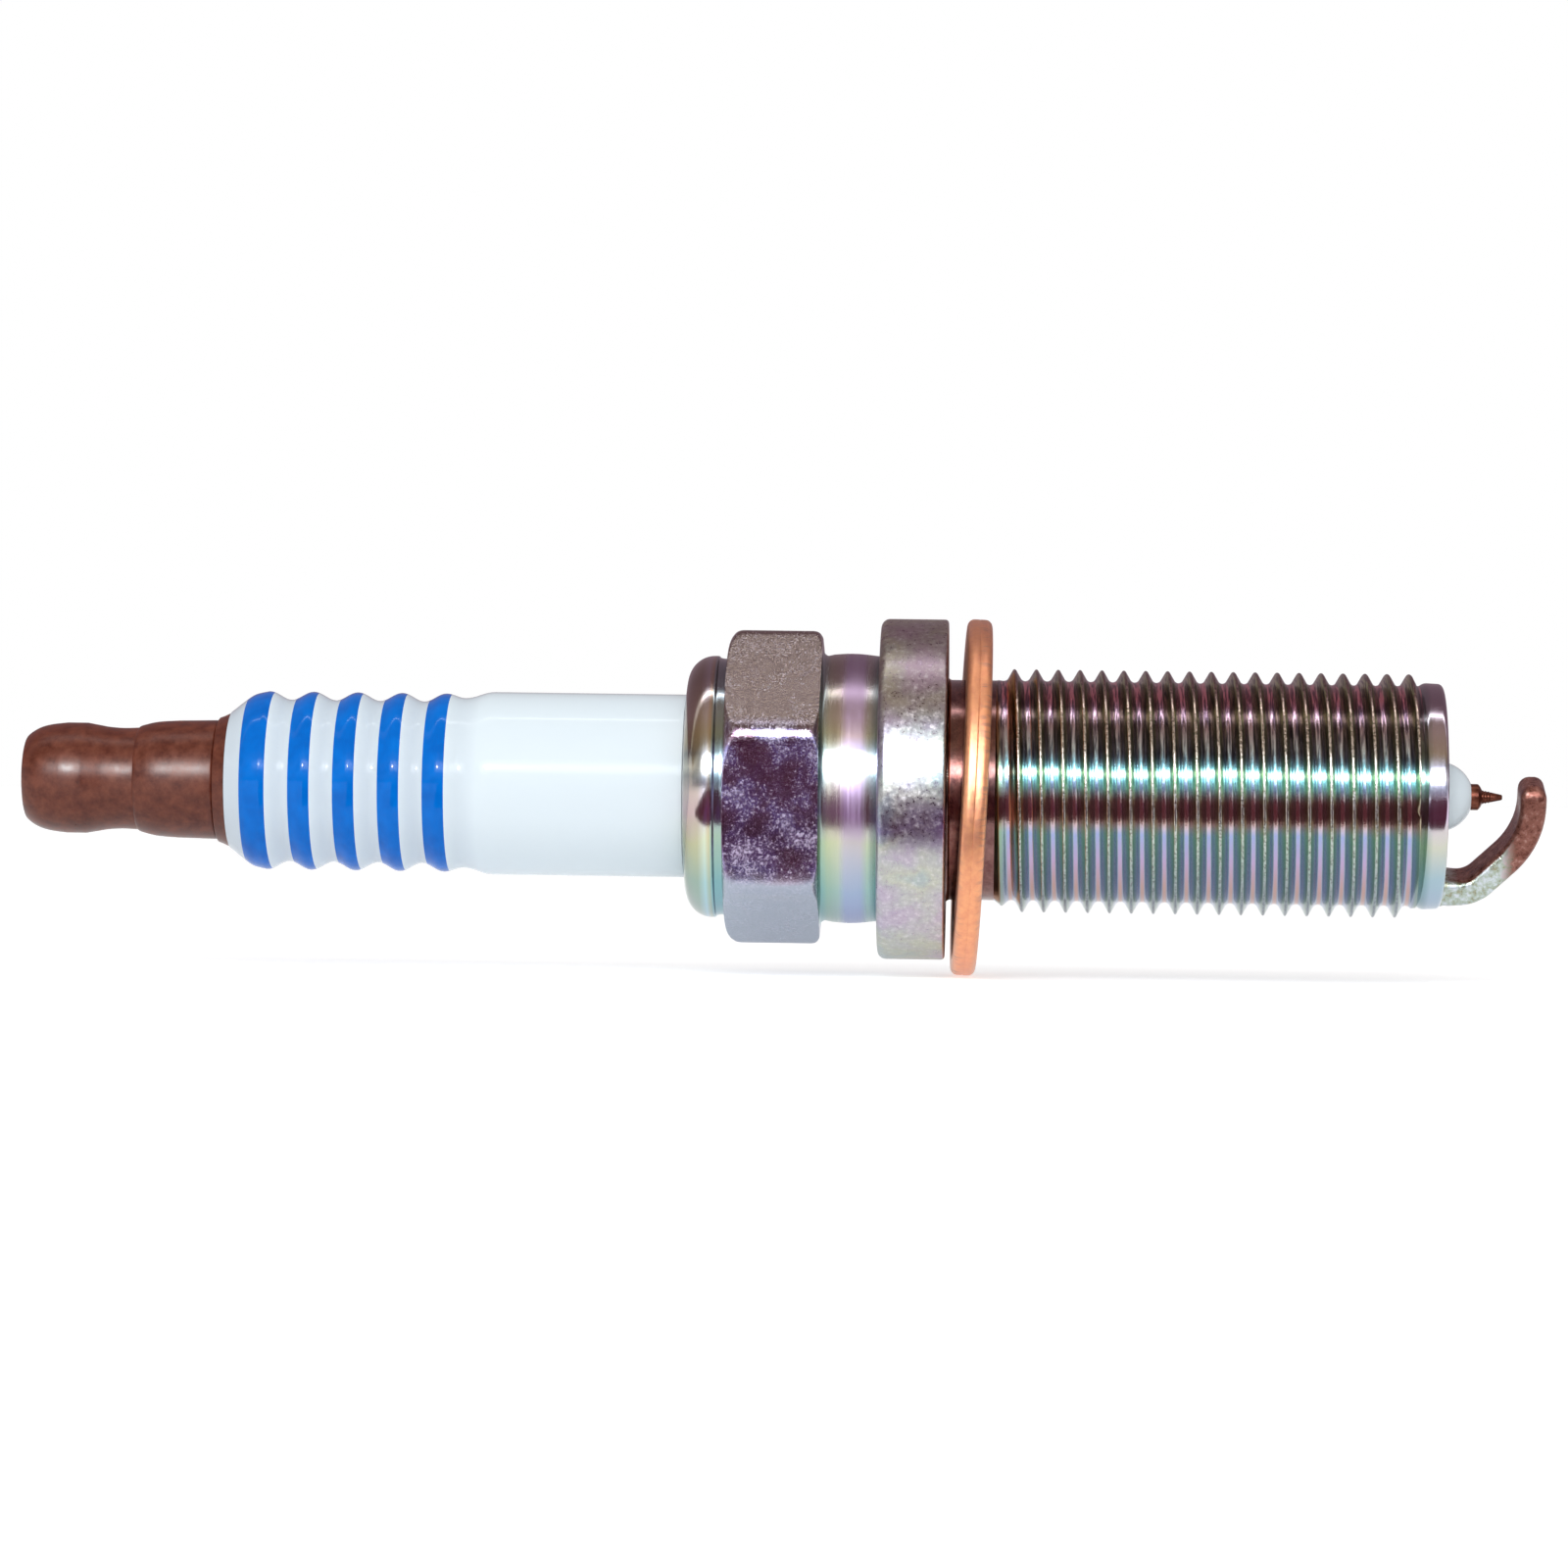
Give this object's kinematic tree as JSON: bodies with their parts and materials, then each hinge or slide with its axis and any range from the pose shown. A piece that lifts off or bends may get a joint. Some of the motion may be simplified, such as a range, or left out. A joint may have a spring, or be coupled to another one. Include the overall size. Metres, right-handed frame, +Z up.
{
  "type": "spark plug",
  "caption": "Long-reach spark plug: ribbed glazed insulator, screw-on terminal, plated hexagon shell with threaded barrel, loose copper gasket, needle electrode and hooked ground electrode.",
  "frame": {"origin": "centre of the shell's gasket seat, on the plug's axis", "axes": "+X along the axis towards the firing end, -X towards the terminal, +Z up as the plug lies, with the ground electrode below and behind the axis"},
  "size_m": [0.0872, 0.0204, 0.0204],
  "materials": {
    "shell_plating": "zinc plate with an iridescent passivation",
    "porcelain": "white gloss glaze with blue bands on the ribs",
    "terminal_metal": "warm brown satin nickel plate",
    "electrode_alloy": "brown satin nickel alloy",
    "needle_metal": "dark brown satin",
    "copper": "bright satin copper",
    "copper_core": "plain copper",
    "glass_seal": "conductive glass",
    "resistor": "carbon glass",
    "packing_steel": "plain wire",
    "talc": "pressed powder"
  },
  "bodies": {
    "plug": {"metal_shell": "shell_plating", "insulator": "porcelain", "terminal_stud": "terminal_metal", "upper_glass_seal": "glass_seal", "resistor": "resistor", "lower_glass_seal": "glass_seal", "centre_electrode": "needle_metal", "copper_core": "copper_core", "iridium_tip": "needle_metal", "upper_packing_ring": "packing_steel", "talc_packing": "talc", "lower_packing_ring": "packing_steel", "seat_packing": "packing_steel", "ground_electrode": "electrode_alloy", "ground_electrode_core": "copper_core"},
    "terminal_nut": {"terminal_nut": "terminal_metal"},
    "gasket": {"gasket": "copper"}
  },
  "joints": [
    {"name": "terminal_nut_unscrew", "type": "slide", "parent": "plug", "child": "terminal_nut", "axis": [-1, 0, 0], "range_m": [0, 0.0095]},
    {"name": "gasket_play", "type": "slide", "parent": "plug", "child": "gasket", "axis": [1, 0, 0], "range_m": [-0.00018, 0.0007]}
  ]
}
